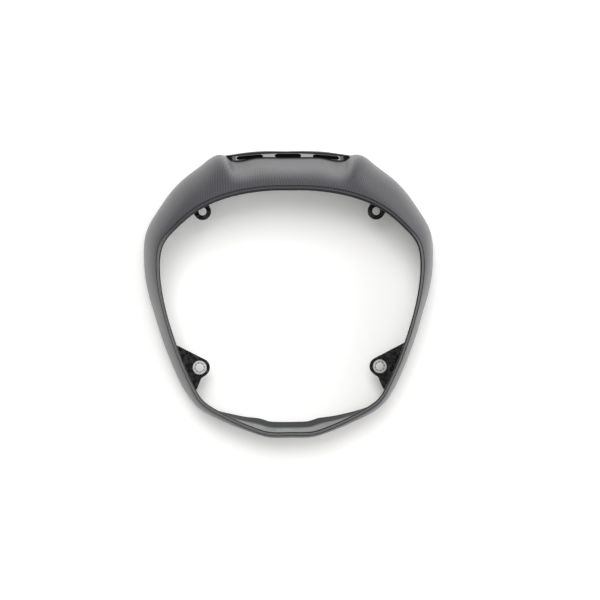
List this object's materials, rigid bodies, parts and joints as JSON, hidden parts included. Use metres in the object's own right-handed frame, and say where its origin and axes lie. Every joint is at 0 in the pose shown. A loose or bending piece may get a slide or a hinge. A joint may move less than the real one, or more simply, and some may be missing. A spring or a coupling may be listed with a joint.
{
  "type": "headlight surround",
  "caption": "Ring-shaped motorbike headlight surround with a scooped, vented brow, a joggled front lip, bonded screw tabs under the brow and bonded lugs with crimped eyelets below.",
  "frame": {"origin": "middle of the cover's outline seen from the front, in the plane of the rear rim, which lies on the table", "axes": "+X to the right as seen from the front, +Y from the chin to the brow, +Z out of the lamp opening towards the front"},
  "size_m": [0.2416, 0.2392, 0.06],
  "materials": {
    "carbon_shell": "woven carbon-fibre laminate under a satin clear coat",
    "vent_insert": "plain satin moulding",
    "black_composite": "resin-rich black laminate, blotchy gloss",
    "eyelet_metal": "bright pressed metal"
  },
  "bodies": {
    "root": {"shell": "carbon_shell", "vent_insert": "vent_insert", "upper_tab_left": "black_composite", "upper_tab_right": "black_composite", "lower_lug_left": "black_composite", "lower_lug_right": "black_composite", "eyelet_left": "eyelet_metal", "eyelet_right": "eyelet_metal"}
  },
  "joints": []
}
